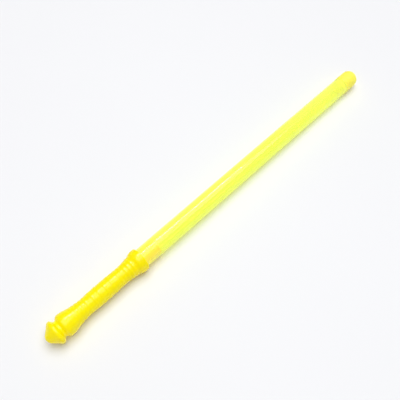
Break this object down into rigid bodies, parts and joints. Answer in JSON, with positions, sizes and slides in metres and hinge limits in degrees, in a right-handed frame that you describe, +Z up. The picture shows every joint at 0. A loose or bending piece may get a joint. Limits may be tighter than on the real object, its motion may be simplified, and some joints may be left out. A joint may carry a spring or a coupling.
{
  "type": "devil stick",
  "caption": "Straight yellow light-up juggling stick: translucent hollow tube with a domed tip, beaded waisted hand grip, bayonet end ring and a blunt cone press button as its pommel.",
  "frame": {"origin": "centre of the bounding box, on the stick's axis half way between the pommel's nose and the tip", "axes": "+X along the stick from the pommel to the tip, +Z up as the stick lies on a table, +Y to its left seen from the pommel"},
  "size_m": [0.48, 0.0256, 0.0256],
  "materials": {
    "grip_plastic": "satin moulded yellow",
    "tip_plastic": "satin moulded yellow",
    "tube_neon": "glossy translucent neon lemon",
    "white_plastic": "plain moulded",
    "black_plastic": "plain moulded",
    "led_clear": "clear cast resin",
    "board": "green solder mask",
    "spring_steel": "bright wire",
    "contact_brass": "plated strip",
    "cell_case": "plain metal can"
  },
  "bodies": {
    "stick": {"grip": "grip_plastic", "battery_sleeve": "white_plastic", "battery_rear": "cell_case", "battery_front": "cell_case", "contact_strip": "contact_brass", "led_holder": "grip_plastic", "front_contact": "contact_brass", "circuit_board": "board", "resistor": "black_plastic", "led_lens": "led_clear", "led_lead_left": "spring_steel", "led_lead_right": "spring_steel", "light_tube": "tube_neon", "tip_cap": "tip_plastic"},
    "battery_cap": {"end_ring": "grip_plastic", "switch_carrier": "white_plastic", "switch_body": "black_plastic", "switch_terminal_lower": "contact_brass", "switch_terminal_upper": "contact_brass", "battery_spring": "spring_steel", "contact_ring": "contact_brass", "button_spring": "spring_steel"},
    "pommel": {"pommel_button": "grip_plastic", "switch_plunger": "white_plastic"}
  },
  "joints": [
    {"name": "battery_cap_turn", "type": "hinge", "parent": "stick", "child": "battery_cap", "pos_m": [-0.219, 0, 0], "axis": [1, 0, 0], "range_deg": [0, 50]},
    {"name": "pommel_press", "type": "slide", "parent": "battery_cap", "child": "pommel", "axis": [1, 0, 0], "range_m": [0, 0.002], "stiffness_N_per_m": 200, "springref_m": -0.004, "deforming": ["button_spring"]}
  ]
}
